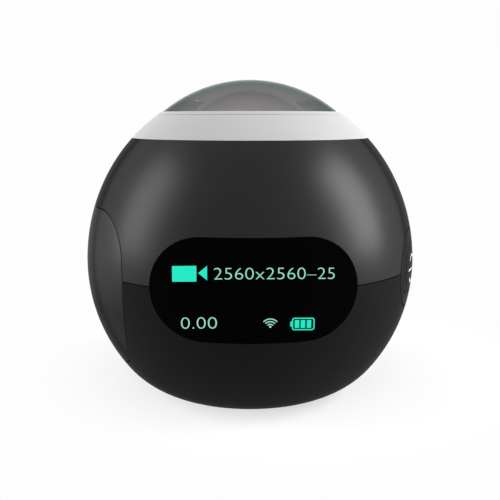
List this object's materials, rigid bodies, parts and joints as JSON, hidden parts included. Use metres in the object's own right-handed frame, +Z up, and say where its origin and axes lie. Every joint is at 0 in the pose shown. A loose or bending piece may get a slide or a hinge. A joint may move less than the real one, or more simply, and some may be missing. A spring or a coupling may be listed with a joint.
{
  "type": "360 degree camera",
  "caption": "Ball-shaped camera with an upward fisheye lens under a glass dome, pale trim ring, front display, side door, key strip and a tripod socket in its flat base.",
  "frame": {"origin": "middle of the flat base, on the surface it stands on", "axes": "+Z up along the lens axis, -Y out of the display, -X out of the side door, +X out of the keys"},
  "size_m": [0.058, 0.058, 0.0553],
  "materials": {
    "shell": "fine matte moulded charcoal",
    "ring": "smooth pale satin",
    "lens_glass": "polished, green and mauve coated",
    "filter": "polished blue-green",
    "black_rubber": "soft matte",
    "lens_black": "blackened",
    "screw_steel": "plated",
    "chip": "moulded package",
    "board": "lacquered circuit board",
    "brass": "machined",
    "can_metal": "tinned sheet",
    "socket": "moulded",
    "flex": "polyimide film",
    "frame_plastic": "moulded",
    "battery_wrap": "wrapped",
    "card": "moulded",
    "window": "polished black",
    "screen": "polished",
    "foam": "open foam",
    "strip": "fine matte moulded charcoal"
  },
  "bodies": {
    "camera_body": {"upper_shell": "shell", "lower_shell": "shell", "trim_ring": "ring", "dome_lens": "lens_glass", "dome_seal": "black_rubber", "lens_barrel": "lens_black", "second_lens": "lens_glass", "third_lens": "lens_glass", "fourth_lens": "lens_glass", "rear_lens": "lens_glass", "lens_spacer": "lens_black", "lens_retainer": "lens_black", "rear_retainer": "lens_black", "aperture_stop": "lens_black", "lens_screws": "screw_steel", "sensor_holder": "lens_black", "filter_glass": "filter", "image_sensor": "chip", "sensor_board": "board", "board_spacers": "brass", "board_screws": "screw_steel", "main_board": "board", "processor": "chip", "memory_chips": "chip", "wireless_module": "can_metal", "shield_can": "can_metal", "beeper": "lens_black", "board_sockets": "socket", "sensor_flex": "flex", "display_flex": "flex", "key_flex": "flex", "inner_frame": "frame_plastic", "battery": "battery_wrap", "battery_contacts": "brass", "usb_port": "can_metal", "hdmi_port": "can_metal", "card_slot": "can_metal", "door_seal": "black_rubber", "display_window": "window", "display_screen": "screen", "display_foam": "foam", "key_strip": "strip", "key_board": "board", "key_switches": "can_metal", "microphone": "can_metal", "antenna": "flex", "tripod_socket": "brass", "base_pad": "black_rubber", "base_screws": "screw_steel", "shelf_screws": "screw_steel"},
    "side_door": {"side_door": "shell"},
    "memory_card": {"memory_card": "card"},
    "power_key": {"power_key": "strip"},
    "mode_key": {"mode_key": "strip"},
    "shutter_key": {"shutter_key": "strip"}
  },
  "joints": [
    {"name": "door_pull", "type": "slide", "parent": "camera_body", "child": "side_door", "axis": [-1, 0, 0], "range_m": [0, 0.03]},
    {"name": "card_travel", "type": "slide", "parent": "camera_body", "child": "memory_card", "axis": [-1, 0, 0], "range_m": [-0.0006, 0.003]},
    {"name": "power_press", "type": "slide", "parent": "camera_body", "child": "power_key", "axis": [-1, 0, 0], "range_m": [0, 0.0003], "stiffness_N_per_m": 1500},
    {"name": "mode_press", "type": "slide", "parent": "camera_body", "child": "mode_key", "axis": [-1, 0, 0], "range_m": [0, 0.0003], "stiffness_N_per_m": 1500},
    {"name": "shutter_press", "type": "slide", "parent": "camera_body", "child": "shutter_key", "axis": [-1, 0, 0], "range_m": [0, 0.0003], "stiffness_N_per_m": 1500}
  ]
}
